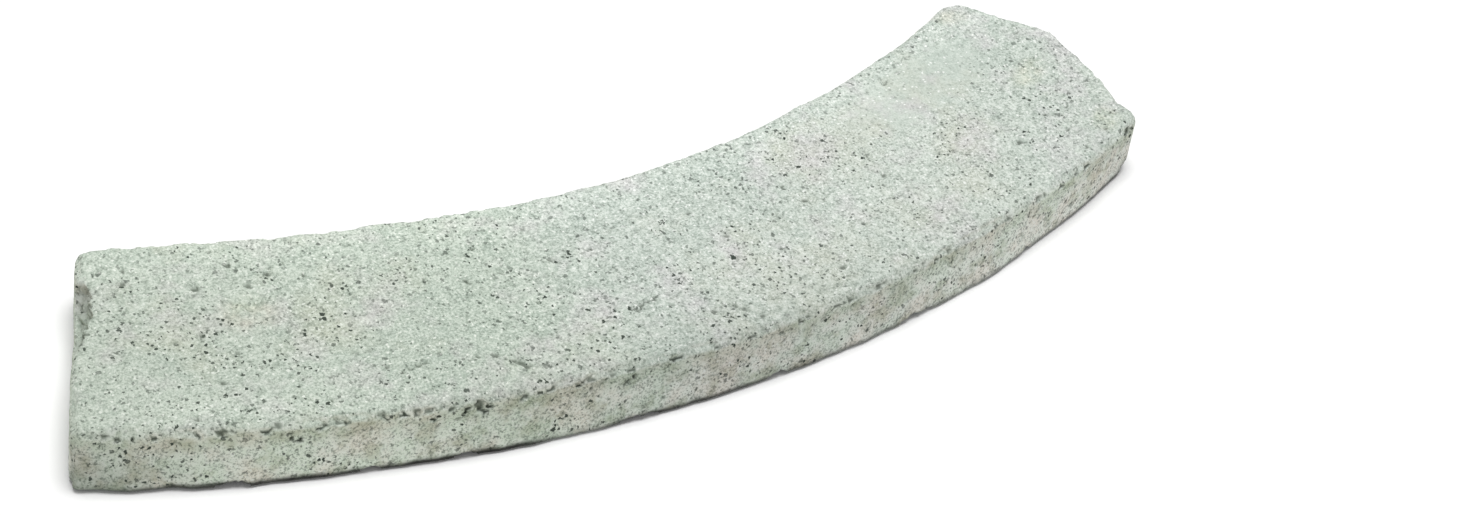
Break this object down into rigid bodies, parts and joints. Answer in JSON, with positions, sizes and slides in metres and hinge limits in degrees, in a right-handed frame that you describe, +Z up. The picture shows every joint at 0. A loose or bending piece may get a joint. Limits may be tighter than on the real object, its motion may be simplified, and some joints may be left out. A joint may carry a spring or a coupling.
{
  "type": "curved kerb stone",
  "caption": "Curved concrete kerb stone: a flat ring sector with drafted sides, a square end and a blunt off-centre point, laid on its bed to edge curved paths and planting beds.",
  "frame": {"origin": "Under the middle of the bounding box, on the bed face.", "axes": "+X along the chord from the square end to the pointed end, -Y towards the convex long face, +Z up from the bed to the top face."},
  "size_m": [0.6786, 0.1966, 0.04],
  "materials": {
    "concrete": "pale grey porous concrete, matt, with fine dark pores and faint warm stains"
  },
  "bodies": {
    "root": {"kerb_stone": "concrete"}
  },
  "joints": []
}
